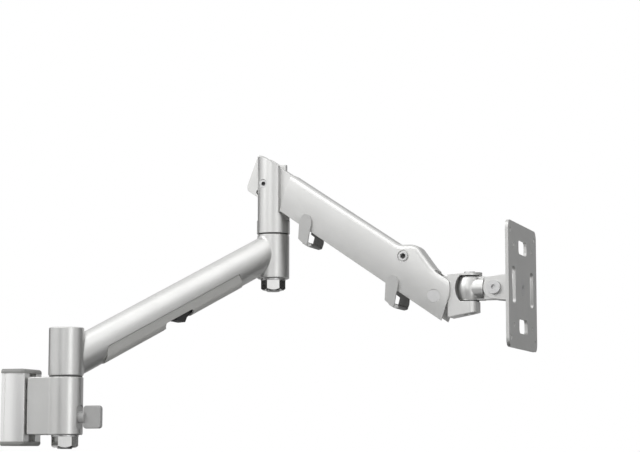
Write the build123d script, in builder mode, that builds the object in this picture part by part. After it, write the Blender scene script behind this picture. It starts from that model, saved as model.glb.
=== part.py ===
from build123d import *
import math
import os

os.makedirs("parts", exist_ok=True)

# All sizes are in millimetres. X points out of the wall, Z up, Y along the wall.
# Fits shared by every joint
run_gap = 0.05
press_gap = 0.02
plug_gap = 0.15
side_gap = 0.4
guide_gap = 0.3
fuse_overlap = 1.0
end_gap = 0.5
bush_split = 0.2

# Wall channel
channel_height = 62.0
channel_half = 18.0
channel_depth = 22.5
channel_web = 6.0
flange_thickness = 3.0
groove_width = 1.5
groove_depth = 1.2
lip_half = 16.8
lip_thickness = 4.0
slot_half = 6.5
cavity_half = 10.5
side_bulge = 0.7
wall_hole_d = 5.5
wall_hole_head_d = 10.5
wall_hole_spacing = 40.0
cap_thickness = 4.0
cap_lip = 0.8
cap_corner = 4.2
cap_round = 2.8
cap_plug_depth = 6.0
grub_d = 5.0
grub_spacing = 22.0
grub_socket_af = 2.5
grub_socket_depth = 2.2

# Shoulder bracket and its friction thumbscrew
shoulder_reach = 56.0
barrel_d = 32.0
bracket_bottom = -25.0
bracket_top = 27.5
bracket_half = 13.0
bracket_standoff = 1.5
bracket_blend = 5.0
foot_height = 36.0
edge_break = 0.8
thumb_z = -9.0
thumb_d = 6.0
thumb_neck_d = 4.0
spot_d = 22.0
spot_depth = 1.5
pad_length = 3.0
paddle_start = 4.4
paddle_length = 17.6
paddle_height = 20.8
paddle_thickness = 5.0
paddle_corner = 3.0
paddle_edge = 1.0
collar_d = 11.0
stud_into_paddle = 7.0

# Upright shafts of the shoulder and the elbow
shaft_d = 14.0
bush_od = 18.0
bush_length = 14.0
bush_flange_d = 23.4
bush_flange = 2.0
thrust_thickness = 1.0
thrust_od = 30.0
nut_washer_thickness = 1.5
nut_washer_od = 25.0
nut_af = 21.0
nut_height = 10.0
nut_chamfer = 2.0
nut_chamfer_rise = 1.6
shoulder_nut_turn = 26.7
elbow_nut_turn = 20.4
shaft_stickout = 1.2
head_d = 22.0
head_height = 5.0
counterbore_d = 24.0
cap_disc = 2.6
cap_space = 0.4
hex_key_af = 8.0
hex_key_depth = 3.0

# Lower arm
lower_length = 235.0
lower_angle = 57.0
lower_rise = 102.0
barrel_height = 44.0
tube_half = 12.0
tube_trim = 2.7
tube_low = 1.1
tube_steepen = 0.5
tube_start = 10.0
tube_wall = 3.0
tube_core_start = 24.0
cover_start = 37.0
cover_end = 185.6
cover_split = 3.4
cover_half = 11.2
cover_wall = 2.0
cover_inset = 0.1
cover_round = 7.0
cover_seam = 0.3
cover_end_lean = 6.5
cover_rib = 1.6
cover_rib_rise = 4.0
cover_rib_gap = 1.3
notch_start = 101.5
notch_end = 133.0
notch_drop = 12.2
notch_round = 2.5
tab_length = 6.0
tab_width = 4.0
tab_thickness = 1.6
catch_corners = ((114.5, 6.0), (135.5, 6.0), (134.5, 15.5), (128.0, 18.5), (126.0, 22.1), (116.5, 16.1))

# Elbow knuckle, a fork for the upper arm
knuckle_r = 16.4
knuckle_front = 9.9
knuckle_back = 13.0
base_gap = 1.0
fork_half = 8.25
fork_floor = 13.0
cheek_top = 76.8
cheek_flat = -6.6
cheek_front = (12.2, 65.5)
lug_top = 70.6
lug_back = 3.0
lift_back = 5.5
lift_up = 49.0
lift_pin_d = 8.0
lift_head_d = 8.6
lift_head_sink = 1.2
lift_head_height = 2.4
lift_key_af = 4.0
small_pin_d = 5.0
blind_stop = 13.0
pin_inset = 2.4
stud_key_af = 8.0

# Upper arm
upper_length = 210.0
upper_drop = 33.7
arm_half = 15.0
arm_crown_r = 280.0
arm_crown_mid = 12.0
arm_wall = 2.5
arm_top = 23.0
arm_bottom_root = -13.7
arm_bottom_tip = -16.0
arm_top_round = 6.0
arm_bottom_round = 2.0
hump_top = 32.1
hump_back = (57.3, 43.2, 14.4)
hump_radii = (14.0, 11.0, 30.0)
hump_wall_shift = 1.0
tip_top = 21.4
nose_start = -12.0
nose_start_v = 21.8
nose_top = (3.0, 21.6)
nose_front = (11.5, 12.5)
nose_low = 19.0
nose_round = 8.0
nose_sweep = 26.0
blank_start = 10.0
blank_ahead = 30.0
tip_slot_back = 13.0
step_top = 20.2
step_mid = (25.4, 0.0)
step_low = 29.8
core_start = 38.0
neck_half = 7.85
neck_wall = 3.05
neck_top = 22.0
neck_bottom = -15.0
neck_lead = 2.0
tail_top = -23.5
tail_low = -16.0
tail_low_v = -11.5
tail_heel = 3.0
tail_round = 4.0
tail_wall = 3.0
lift_up_range = 42.0
lift_down_range = 2.0
slot_spare = 2.0
lift_bush_wall = 1.5
link_offset = 13.0
strut_offset = 10.0
under_start = 46.0
under_back = 54.0
under_thickness = 1.8

# Cable clips under the upper arm
clip_thickness = 2.0
clip_round = 1.0
clip_high = 10.8
clip_peg_d = 3.6
clip_peg_at = (9.4, 2.4)
clip_near_tab = (
    (0, 0),
    (8.3, -14.2),
    (19.0, -16.0),
    (18.6, -12.0),
    (14.6, -3.0),
    (12.0, 4.0),
    (9.4, 8.6),
    (5.0, clip_high),
    (0.6, 10.2),
    (-1.0, 6.4),
)
clip_far_tab = (
    (2.0, 4.0),
    (6.0, -6.7),
    (11.0, -7.0),
    (12.8, -12.5),
    (15.0, -16.0),
    (21.0, -15.6),
    (23.6, -13.0),
    (22.3, -7.6),
    (16.0, 4.0),
)
clip_bar = ((14.0, -15.9), (21.0, -15.6), (23.6, -13.0), (22.0, -11.6), (17.0, -12.2))
clip_rear_at = (54.5, -12.0)
clip_front_back = 47.1
clip_front_v = -15.0

# Strut anchor inside the upper arm
anchor_screw_back = 47.0
anchor_screw_v = 16.0
anchor_pin_back = 60.0
anchor_pin_v = -1.0
anchor_inside = 5.0
anchor_top = 20.5
anchor_bridge = 2.6
anchor_outline = ((67.0, -8.0), (53.0, -8.0), (37.0, 10.0), (37.0, anchor_top), (55.0, anchor_top), (67.0, 6.0))
anchor_screw_d = 6.0
anchor_head_d = 9.0
anchor_head = 2.0
anchor_recess_d = 11.5
anchor_recess = 1.3
anchor_key_af = 5.0

# Gas strut
strut_pin_play = 0.8
strut_tube_d = 12.0
strut_tube_wall = 1.5
strut_tube_start = 60.0
strut_shank = 13.6
strut_gland = 6.0
strut_shank_d = 7.0
strut_eye_r = 5.0
strut_eye_half = 4.4
strut_front_eye_r = 6.5
rod_d = 6.0
rod_end = 104.0
piston_length = 6.0

# Levelling link
link_half = 3.0
link_eye_r = 5.0

# Head yoke, coordinates from the tip pivot
yoke_half = 12.0
tongue_half = 9.0
tongue_r = 9.0
link_boss_r = 6.2
yoke_back = 13.0
yoke_top = 20.4
yoke_top_front = 22.3
yoke_bottom = -20.5
yoke_bottom_front = -14.9
lower_nose = 8.0
pan_seat_rise = 1.0
pan_nut_seat = -10.2
pan_reach = 32.0
head_rise = 6.9
pocket_half = 12.4
pocket_mid_r = 16.6
pocket_end_r = 13.6
link_slot = 0.3
link_slot_low = 7.6
link_slot_front = 6.6
tip_pin_d = 8.0
tip_head_d = 12.4
tip_head = 1.5
tip_bush_wall = 1.5
tip_flange_d = 16.0

# Pan, tilt and screen plate
pan_washer = 1.0
pan_washer_od = 18.0
pan_mid_r = 12.5
pan_end_r = 10.2
pan_neck_play = 0.65
pan_neck_end = 15.4
pan_bolt_d = 6.0
pan_head_d = 11.0
pan_head = 2.2
pan_nut_af = 10.0
pan_nut = 5.0
pan_bush_wall = 1.2
tilt_reach = 27.0
tilt_half = 6.0
tilt_r = 11.0
tilt_washer = 1.0
ear_thickness = 5.0
tilt_bolt_d = 8.0
tilt_head_d = 13.0
tilt_head = 5.0
tilt_nut_af = 13.0
tilt_nut = 6.5
tilt_washer_inset = 1.0
ear_flare = 2.0
hub_back = 16.0
hub_thickness = 5.0
hub_d = 40.0
friction_washer = 1.0
friction_od = 36.0
plate_side = 118.0
plate_thickness = 3.0
plate_corner = 8.0
vesa_hole_d = 5.0
vesa_small = 75.0
vesa_large = 100.0
window_long = 34.0
window_short = 14.0
window_at = 37.5
window_round = 4.0
turn_bolt_d = 8.0
turn_head_d = 17.0
turn_head_cone = 2.4
turn_nut_af = 11.0
turn_nut = 4.2
turn_stickout = 0.2

# Positions that follow from the sizes above
barrel_r = barrel_d / 2
shaft_r = shaft_d / 2
lower_dir = Vector(math.cos(math.radians(lower_angle)), math.sin(math.radians(lower_angle)), 0)
across_dir = Vector(-lower_dir.Y, lower_dir.X, 0)
elbow_x = shoulder_reach + lower_length * lower_dir.X
elbow_y = lower_length * lower_dir.Y
arm_bottom = bracket_top + thrust_thickness
arm_barrel_top = arm_bottom + barrel_height
elbow_bottom = arm_bottom + lower_rise
elbow_top = elbow_bottom + barrel_height
knuckle_bottom = elbow_top + thrust_thickness
lift_at = Vector(elbow_x - lift_back, elbow_y, knuckle_bottom + lift_up)
drop = math.radians(upper_drop)
upper_dir = Vector(math.cos(drop), 0, -math.sin(drop))
tip_at = lift_at + upper_dir * upper_length
arm_plane = Plane(origin=lift_at, x_dir=upper_dir, z_dir=(0, -1, 0))
lift_plane = Plane(origin=lift_at, x_dir=(1, 0, 0), z_dir=(0, -1, 0))
tip_plane = Plane(origin=tip_at, x_dir=(1, 0, 0), z_dir=(0, -1, 0))
knuckle_plane = Plane(origin=(elbow_x, elbow_y, knuckle_bottom), x_dir=(1, 0, 0), z_dir=(0, -1, 0))
pan_at = tip_at + Vector(pan_reach, 0, head_rise)
head_plane = Plane(origin=pan_at, x_dir=(1, 0, 0), z_dir=(0, -1, 0))
tilt_at = pan_at + Vector(tilt_reach, 0, 0)
tilt_plane = Plane(origin=tilt_at, x_dir=(1, 0, 0), z_dir=(0, -1, 0))
hub_plane = Plane(origin=tilt_at + Vector(hub_back, 0, 0), x_dir=(0, 1, 0), z_dir=(1, 0, 0))
arm_section = Plane(origin=lift_at, x_dir=(0, 1, 0), z_dir=upper_dir)
anchor_screw_at = (upper_length - anchor_screw_back, anchor_screw_v)
anchor_pin_at = (upper_length - anchor_pin_back, anchor_pin_v)
clip_front_at = (upper_length - clip_front_back, clip_front_v)
nose_c = (upper_length + nose_low, arm_bottom_tip)
under_end = upper_length - under_back
blank_end = upper_length + blank_ahead
rear_link_at = (0, link_offset)
rear_strut_at = (0, -strut_offset)
hex_corner = 2 / math.sqrt(3)


def save(piece, name):
    """Label one finished piece and write it under its node name."""
    piece.part.label = name
    export_step(piece.part, f"parts/{name}.step")


def upright_ring(name, at, height, outer_r, inner_r):
    """A washer or plain bush around an upright axis, standing on the point at."""
    with BuildPart() as ring:
        with BuildSketch(Plane.XY.offset(at[2])):
            with Locations((at[0], at[1])):
                Circle(outer_r)
                Circle(inner_r, mode=Mode.SUBTRACT)
        extrude(amount=height)
    save(ring, name)


def upright_nut(name, at, turn, bore_r):
    """A hexagon nut on an upright axis, its lower corners turned off."""
    with BuildPart() as nut:
        with Locations(at):
            Cylinder(nut_af / 2 * hex_corner, nut_height, align=(Align.CENTER, Align.CENTER, Align.MIN))
        chamfer(nut.faces().sort_by(Axis.Z)[0].edges(), length=nut_chamfer_rise, length2=nut_chamfer)
        with BuildSketch(Plane.XY.offset(at[2])):
            with Locations((at[0], at[1])):
                RegularPolygon(nut_af / 2, 6, major_radius=False, rotation=turn)
        extrude(amount=nut_height, mode=Mode.INTERSECT)
        with BuildSketch(Plane.XY.offset(at[2])):
            with Locations((at[0], at[1])):
                Circle(bore_r)
        extrude(amount=nut_height, mode=Mode.SUBTRACT)
    save(nut, name)


# Wall channel: an extruded rail with a slot down its front
with BuildPart() as wall_channel:
    with BuildSketch(Plane.XY.offset(-channel_height / 2)):
        with BuildLine():
            flange_front = flange_thickness + groove_width
            Polyline(
                (0, 0),
                (0, channel_half),
                (flange_thickness, channel_half),
                (flange_thickness, channel_half - groove_depth),
                (flange_front, channel_half - groove_depth),
                (flange_front, channel_half),
            )
            arc_mid = ((flange_front + channel_depth) / 2, (channel_half + lip_half) / 2 + side_bulge)
            ThreePointArc((flange_front, channel_half), arc_mid, (channel_depth, lip_half))
            Polyline(
                (channel_depth, lip_half),
                (channel_depth, slot_half),
                (channel_depth - lip_thickness, slot_half),
                (channel_depth - lip_thickness, cavity_half),
                (channel_web, cavity_half),
                (channel_web, 0),
            )
            mirror(about=Plane.XZ)
        make_face()
    extrude(amount=channel_height)
    with Locations(Plane(origin=(channel_web, 0, 0), x_dir=(0, 1, 0), z_dir=(1, 0, 0))):
        with GridLocations(1, wall_hole_spacing, 1, 2):
            CounterSinkHole(wall_hole_d / 2, wall_hole_head_d / 2, depth=channel_web)
    grub_x = (channel_web + channel_depth - lip_thickness) / 2
    side_most = channel_half + side_bulge
    with Locations(Plane(origin=(grub_x, side_most, 0), x_dir=(1, 0, 0), z_dir=(0, 1, 0))):
        with GridLocations(1, grub_spacing, 1, 2):
            Hole(grub_d / 2 + press_gap, depth=side_most - cavity_half)
save(wall_channel, "wall_channel")

with BuildPart() as channel_cap_top:
    cap_half = channel_half + cap_lip
    cap_front = channel_depth + cap_lip
    with BuildSketch(Plane.XY.offset(channel_height / 2)) as cap_outline:
        with Locations((cap_front / 2, 0)):
            Rectangle(cap_front, 2 * cap_half)
        fillet(cap_outline.vertices().group_by(Axis.X)[-1], cap_corner)
    extrude(amount=cap_thickness)
    cap_edges = channel_cap_top.faces().sort_by(Axis.Z)[-1].edges()
    fillet(cap_edges.sort_by(Axis.X)[1:], cap_round)
    with BuildSketch(Plane.XY.offset(channel_height / 2)):
        with Locations((grub_x, 0)):
            Rectangle(channel_depth - lip_thickness - channel_web - 2 * plug_gap, 2 * (cavity_half - plug_gap))
    extrude(amount=-cap_plug_depth)
save(channel_cap_top, "channel_cap_top")

with BuildPart() as channel_cap_bottom:
    mirror(channel_cap_top.part, about=Plane.XY)
save(channel_cap_bottom, "channel_cap_bottom")

foot_half = cavity_half - guide_gap
with BuildPart() as bracket_grub_screws:
    grub_plane = Plane(origin=(grub_x, foot_half, 0), x_dir=(1, 0, 0), z_dir=(0, 1, 0))
    with BuildSketch(grub_plane):
        with GridLocations(1, grub_spacing, 1, 2):
            Circle(grub_d / 2)
    extrude(amount=channel_half - foot_half - grub_socket_depth)
    with BuildSketch(grub_plane.offset(channel_half - foot_half - grub_socket_depth)):
        with GridLocations(1, grub_spacing, 1, 2):
            RegularPolygon(grub_socket_af / 2, 6, major_radius=False)
    extrude(amount=-grub_socket_depth, mode=Mode.SUBTRACT)
save(bracket_grub_screws, "bracket_grub_screws")

# Shoulder bracket: T-foot in the channel, block, and an upright barrel
with BuildPart() as shoulder_bracket:
    with BuildSketch(Plane.XY.offset(bracket_bottom)) as bracket_plan:
        with Locations((shoulder_reach, 0)):
            Circle(barrel_r)
        block_start = channel_depth + bracket_standoff
        with Locations(((block_start + shoulder_reach) / 2, 0)):
            Rectangle(shoulder_reach - block_start, 2 * bracket_half)
        joint_x = shoulder_reach - math.sqrt(barrel_r**2 - bracket_half**2)
        near_joint = (joint_x - fuse_overlap, joint_x + fuse_overlap)
        fillet(bracket_plan.vertices().filter_by_position(Axis.X, *near_joint), bracket_blend)
    extrude(amount=bracket_top - bracket_bottom)
    ends = shoulder_bracket.faces().filter_by(Axis.Z)
    chamfer(ends.sort_by(Axis.Z)[0].edges() + ends.sort_by(Axis.Z)[-1].edges(), edge_break)
    with BuildSketch(Plane.XY.offset(-foot_height / 2)):
        neck_start = channel_depth - lip_thickness - guide_gap
        with Locations(((channel_web + neck_start + guide_gap) / 2, 0)):
            Rectangle(neck_start - channel_web - guide_gap, 2 * foot_half)
        neck_end = block_start + fuse_overlap
        with Locations(((neck_start + neck_end) / 2, 0)):
            Rectangle(neck_end - neck_start, 2 * (slot_half - guide_gap))
    extrude(amount=foot_height)
    with Locations((shoulder_reach, 0, bracket_top)):
        Hole(shaft_r + run_gap)
    with Locations(Plane(origin=(shoulder_reach + barrel_r, 0, thumb_z), z_dir=(1, 0, 0))):
        CounterBoreHole(thumb_d / 2 + run_gap, spot_d / 2, spot_depth, depth=barrel_r)
save(shoulder_bracket, "shoulder_bracket")

# Friction thumbscrew: a nylon pad against the shaft, a stud and a flat paddle
thumb_plane = Plane(origin=(shoulder_reach + shaft_r + run_gap, 0, thumb_z), x_dir=(0, 1, 0), z_dir=(1, 0, 0))
with BuildPart() as friction_pad:
    with BuildSketch(thumb_plane):
        Circle(thumb_d / 2)
    extrude(amount=pad_length)
    pad_hollow = shaft_r + run_gap
    with BuildSketch(Plane.XY.offset(thumb_z - thumb_d)):
        with Locations((shoulder_reach, 0)):
            Circle(pad_hollow + press_gap)
    extrude(amount=2 * thumb_d, mode=Mode.SUBTRACT)
save(friction_pad, "friction_pad")

paddle_x = shoulder_reach + barrel_r - spot_depth + paddle_start
with BuildPart() as thumbscrew_paddle:
    paddle_plane = Plane(origin=(paddle_x + paddle_length / 2, 0, thumb_z), x_dir=(1, 0, 0), z_dir=(0, -1, 0))
    with BuildSketch(paddle_plane):
        RectangleRounded(paddle_length, paddle_height, paddle_corner)
    extrude(amount=paddle_thickness / 2, both=True)
    fillet(thumbscrew_paddle.faces().filter_by(Axis.Y).edges(), paddle_edge)
    with BuildSketch(Plane(origin=(paddle_x - paddle_start, 0, thumb_z), x_dir=(0, 1, 0), z_dir=(1, 0, 0))):
        Circle(collar_d / 2)
    extrude(amount=paddle_start + 2 * paddle_edge)
    with Locations(Plane(origin=(paddle_x - paddle_start, 0, thumb_z), z_dir=(-1, 0, 0))):
        Hole(thumb_neck_d / 2 + press_gap, depth=stud_into_paddle + paddle_start)
save(thumbscrew_paddle, "thumbscrew_paddle")

with BuildPart() as thumbscrew_stud:
    stud_start = shoulder_reach + shaft_r + run_gap + pad_length
    with BuildSketch(Plane(origin=(stud_start, 0, thumb_z), x_dir=(0, 1, 0), z_dir=(1, 0, 0))):
        Circle(thumb_d / 2)
    extrude(amount=paddle_x - paddle_start - stud_start)
    with BuildSketch(Plane(origin=(stud_start, 0, thumb_z), x_dir=(0, 1, 0), z_dir=(1, 0, 0))):
        Circle(thumb_neck_d / 2)
    extrude(amount=paddle_x + stud_into_paddle - stud_start)
save(thumbscrew_stud, "thumbscrew_stud")

# Shoulder shaft, fixed in the bracket, with its head under the cap of the lower arm
shoulder_at = Vector(shoulder_reach, 0, 0)
head_bottom = arm_barrel_top - cap_disc - cap_space - head_height
bush_seat = head_bottom - bush_flange
nut_bottom = bracket_bottom - nut_washer_thickness - nut_height
with BuildPart() as shoulder_shaft:
    with Locations((shoulder_reach, 0, nut_bottom - shaft_stickout)):
        shank_length = head_bottom - nut_bottom + shaft_stickout
        Cylinder(shaft_r, shank_length, align=(Align.CENTER, Align.CENTER, Align.MIN))
    chamfer(shoulder_shaft.faces().sort_by(Axis.Z)[0].edges(), edge_break)
    with Locations((shoulder_reach, 0, head_bottom)):
        Cylinder(head_d / 2, head_height, align=(Align.CENTER, Align.CENTER, Align.MIN))
    chamfer(shoulder_shaft.faces().sort_by(Axis.Z)[-1].edges(), edge_break)
    with BuildSketch(Plane.XY.offset(head_bottom + head_height)):
        with Locations((shoulder_reach, 0)):
            RegularPolygon(hex_key_af / 2, 6, major_radius=False)
    extrude(amount=-hex_key_depth, mode=Mode.SUBTRACT)
save(shoulder_shaft, "shoulder_shaft")

washer_bore = shaft_r + run_gap
upright_ring(
    "shoulder_thrust_washer",
    (shoulder_reach, 0, bracket_top),
    thrust_thickness,
    thrust_od / 2,
    washer_bore,
)
upright_ring(
    "shoulder_washer",
    (shoulder_reach, 0, bracket_bottom - nut_washer_thickness),
    nut_washer_thickness,
    nut_washer_od / 2,
    washer_bore,
)
upright_nut("shoulder_nut", (shoulder_reach, 0, nut_bottom), shoulder_nut_turn, shaft_r + press_gap)

# Lower arm: two barrels and a rising hollow tube between them
tube_tall = barrel_height - 2 * tube_trim
cover_drop = tube_tall / 2 - cover_inset
tube_rise = (lower_rise + 2 * tube_steepen) / (lower_length - 2 * barrel_r)
tube_lean = math.atan(tube_rise)
tube_dir = lower_dir * math.cos(tube_lean) + Vector(0, 0, math.sin(tube_lean))
tube_mid_z = arm_bottom + barrel_height / 2 + lower_rise / 2 - tube_low


def tube_plane(along):
    """Upright cross-section plane of the tube at a distance from the shoulder axis."""
    centre = shoulder_at + lower_dir * along + Vector(0, 0, tube_mid_z + (along - lower_length / 2) * tube_rise)
    return Plane(origin=centre, x_dir=across_dir, z_dir=lower_dir)


def tube_span(start, end):
    """Length along the slope between two distances from the shoulder axis."""
    return (end - start) / math.cos(tube_lean)


def cover_corners(seam):
    """Side view of the cable cover, its front end leaning with the slope."""
    start = cover_start + seam
    top_end = cover_end - seam
    end = top_end + cover_end_lean * (tube_tall - cover_split) / (cover_drop - cover_split)
    return (
        (start, start * tube_rise - cover_split - seam),
        (top_end, top_end * tube_rise - cover_split - seam),
        (end, end * tube_rise - tube_tall),
        (start, start * tube_rise - tube_tall),
    )


side_plane = Plane(origin=tube_plane(0).origin, x_dir=lower_dir, z_dir=-across_dir)
tube_end = lower_length - tube_start
core_end = lower_length - tube_core_start
with BuildPart() as tube_blank:
    with BuildSketch(tube_plane(tube_start)):
        Ellipse(tube_half, tube_tall / 2)
    extrude(amount=tube_span(tube_start, tube_end), dir=tube_dir)
    with BuildSketch(Plane.XY.offset(arm_bottom + edge_break)):
        Rectangle(4 * lower_length, 4 * lower_length)
    extrude(amount=elbow_top - arm_bottom - 2 * edge_break, mode=Mode.INTERSECT)

with BuildPart() as lower_arm:
    for x, y, z in ((shoulder_reach, 0, arm_bottom), (elbow_x, elbow_y, elbow_bottom)):
        with BuildSketch(Plane.XY.offset(z)):
            with Locations((x, y)):
                Circle(barrel_r)
        extrude(amount=barrel_height)
    chamfer(lower_arm.edges().filter_by(GeomType.CIRCLE), edge_break)
    add(tube_blank.part)
    with BuildSketch(tube_plane(tube_core_start)):
        Ellipse(tube_half - tube_wall, tube_tall / 2 - tube_wall)
    extrude(amount=tube_span(tube_core_start, core_end), dir=tube_dir, mode=Mode.SUBTRACT)
    with BuildSketch(side_plane):
        Polygon(*cover_corners(0), align=None)
    extrude(amount=2 * tube_half, both=True, mode=Mode.SUBTRACT)
    with BuildSketch(Plane.XY.offset(arm_bottom)):
        with Locations((shoulder_reach, 0), (elbow_x, elbow_y)):
            Circle(bush_od / 2 + press_gap)
    extrude(amount=lower_rise + barrel_height, mode=Mode.SUBTRACT)
    with BuildSketch(Plane.XY.offset(bush_seat)):
        with Locations((shoulder_reach, 0)):
            Circle(counterbore_d / 2)
    extrude(amount=barrel_height, mode=Mode.SUBTRACT)
save(lower_arm, "lower_arm")

with BuildPart() as shoulder_cap:
    with BuildSketch(Plane.XY.offset(arm_barrel_top - cap_disc)):
        with Locations((shoulder_reach, 0)):
            Circle(counterbore_d / 2 - press_gap)
    extrude(amount=cap_disc)
    chamfer(shoulder_cap.faces().sort_by(Axis.Z)[-1].edges(), edge_break)
save(shoulder_cap, "shoulder_cap")

upright_ring("shoulder_bush_lower", (shoulder_reach, 0, arm_bottom), bush_length, bush_od / 2, washer_bore)
with BuildPart() as shoulder_bush_upper:
    with Locations((shoulder_reach, 0, bush_seat)):
        Cylinder(bush_od / 2, bush_length, align=(Align.CENTER, Align.CENTER, Align.MAX))
        Cylinder(bush_flange_d / 2, bush_flange, align=(Align.CENTER, Align.CENTER, Align.MIN))
        Cylinder(washer_bore, 3 * bush_length, mode=Mode.SUBTRACT)
save(shoulder_bush_upper, "shoulder_bush_upper")
upright_ring("elbow_bush_lower", (elbow_x, elbow_y, elbow_bottom), bush_length, bush_od / 2, washer_bore)
upright_ring(
    "elbow_bush_upper",
    (elbow_x, elbow_y, elbow_top - bush_length),
    bush_length,
    bush_od / 2,
    washer_bore,
)

# Cable cover: a trough that closes the underside of the tube, notched for the cable
with BuildPart() as cable_cover:
    rib_x = cover_half - cover_wall - cover_rib / 2
    with BuildSketch(tube_plane(cover_start)) as cover_section:
        with Locations((0, -cover_drop / 2)):
            Rectangle(2 * cover_half, cover_drop)
        fillet(cover_section.vertices().group_by(Axis.Y)[0], cover_round)
    extrude(amount=tube_span(cover_start, cover_end + 2 * cover_end_lean), dir=tube_dir)
    with BuildSketch(side_plane):
        Polygon(*cover_corners(cover_seam), align=None)
    extrude(amount=2 * tube_half, both=True, mode=Mode.INTERSECT)
    with BuildSketch(tube_plane(cover_start)) as cover_core:
        with Locations((0, -(cover_drop - cover_wall) / 2)):
            Rectangle(2 * (cover_half - cover_wall), cover_drop - cover_wall)
        fillet(cover_core.vertices().group_by(Axis.Y)[0], cover_round - cover_wall)
    extrude(amount=tube_span(cover_start, cover_end + 2 * cover_end_lean), dir=tube_dir, mode=Mode.SUBTRACT)
    rib_start = cover_start + cover_end_lean
    with BuildSketch(tube_plane(rib_start)):
        with Locations((-rib_x, -cover_split - cover_rib_rise), (rib_x, -cover_split - cover_rib_rise)):
            Rectangle(cover_rib + 2 * press_gap, 2 * (cover_rib_rise - 2 * cover_seam))
        with Locations((-rib_x + cover_rib_gap, -cover_split), (rib_x - cover_rib_gap, -cover_split)):
            Rectangle(cover_rib, 2 * cover_rib_rise)
    extrude(amount=tube_span(rib_start, cover_end - cover_end_lean), dir=tube_dir)
    with BuildSketch(side_plane):
        with BuildLine():
            low_a = (notch_start, notch_start * tube_rise - tube_tall)
            low_b = (notch_end, notch_end * tube_rise - tube_tall)
            FilletPolyline(
                low_a,
                (notch_start, notch_start * tube_rise - notch_drop),
                (notch_end, notch_end * tube_rise - notch_drop),
                low_b,
                radius=notch_round,
            )
            Line(low_b, low_a)
        make_face()
    extrude(amount=2 * cover_half, both=True, mode=Mode.SUBTRACT)
    with BuildSketch(tube_plane(notch_start - tab_thickness)):
        with Locations((-tab_width / 2, -cover_drop + tab_thickness / 2)):
            Rectangle(tab_width, tab_thickness)
    extrude(amount=tube_span(0, tab_length), dir=tube_dir)
save(cable_cover, "cable_cover")

# Cable catch: a black wedge between the ribs of the cover that holds the cables in at the notch
with BuildPart() as cable_catch:
    with BuildSketch(side_plane):
        Polygon(*((s, s * tube_rise - drop_below) for s, drop_below in catch_corners), align=None)
    extrude(amount=rib_x - cover_rib_gap - cover_rib / 2, both=True)
save(cable_catch, "cable_catch")

# Elbow knuckle: round base that slopes away under the arm, two cheeks with flats front and back
lowest = math.radians(upper_drop + lift_down_range)


def below_arm(ahead):
    """Height of the base at a distance ahead of the elbow axis, clear of the arm at its lowest."""
    return lift_up - (ahead + lift_back) * math.tan(lowest) + (arm_bottom_root - base_gap) / math.cos(lowest)


with BuildPart() as elbow_knuckle:
    with BuildSketch(Plane.XY.offset(knuckle_bottom)):
        with Locations((elbow_x, elbow_y)):
            Circle(knuckle_r)
    extrude(amount=cheek_top)
    with BuildSketch(knuckle_plane):
        Polygon(
            (knuckle_front, below_arm(knuckle_front)),
            (2 * knuckle_r, below_arm(2 * knuckle_r)),
            (2 * knuckle_r, 2 * cheek_top),
            (knuckle_front, 2 * cheek_top),
            align=None,
        )
        with Locations((-knuckle_back, fork_floor)):
            Rectangle(knuckle_r, 2 * cheek_top, align=(Align.MAX, Align.MIN))
    extrude(amount=2 * knuckle_r, both=True, mode=Mode.SUBTRACT)
    with BuildSketch(knuckle_plane):
        Polygon(
            (cheek_flat, cheek_top),
            cheek_front,
            (cheek_front[0], 2 * cheek_top),
            (cheek_flat, 2 * cheek_top),
            align=None,
        )
    extrude(amount=2 * knuckle_r, mode=Mode.SUBTRACT)
    with BuildSketch(knuckle_plane):
        Polygon(
            (cheek_flat, cheek_top),
            (lug_back, lug_top),
            (cheek_front[0], lug_top),
            (cheek_front[0], 2 * cheek_top),
            (cheek_flat, 2 * cheek_top),
            align=None,
        )
    extrude(amount=-2 * knuckle_r, mode=Mode.SUBTRACT)
    with BuildSketch(knuckle_plane):
        with Locations((0, fork_floor)):
            Rectangle(4 * knuckle_r, 2 * cheek_top, align=(Align.CENTER, Align.MIN))
    extrude(amount=fork_half, both=True, mode=Mode.SUBTRACT)
    with BuildSketch(lift_plane.offset(-2 * knuckle_r)):
        Circle(lift_pin_d / 2 + press_gap)
    extrude(amount=4 * knuckle_r, mode=Mode.SUBTRACT)
    lift_face = math.sqrt(knuckle_r**2 - lift_back**2)
    lift_seat = lift_face - lift_head_sink - lift_head_height
    with BuildSketch(lift_plane.offset(lift_seat)):
        Circle(lift_head_d / 2 + plug_gap)
    extrude(amount=knuckle_r, mode=Mode.SUBTRACT)
    with BuildSketch(lift_plane.offset(blind_stop)):
        with Locations(rear_link_at, rear_strut_at):
            Circle(small_pin_d / 2 + press_gap)
    extrude(amount=-4 * knuckle_r, mode=Mode.SUBTRACT)
    with Locations((elbow_x, elbow_y, knuckle_bottom)):
        Cylinder(shaft_r + press_gap, 4 * fork_floor, mode=Mode.SUBTRACT)
        floor_seat = fork_floor - head_height
    with Locations((elbow_x, elbow_y, knuckle_bottom + floor_seat)):
        Cylinder(
            fork_half - press_gap,
            head_height,
            align=(Align.CENTER, Align.CENTER, Align.MIN),
            mode=Mode.SUBTRACT,
        )
save(elbow_knuckle, "elbow_knuckle")

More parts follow.
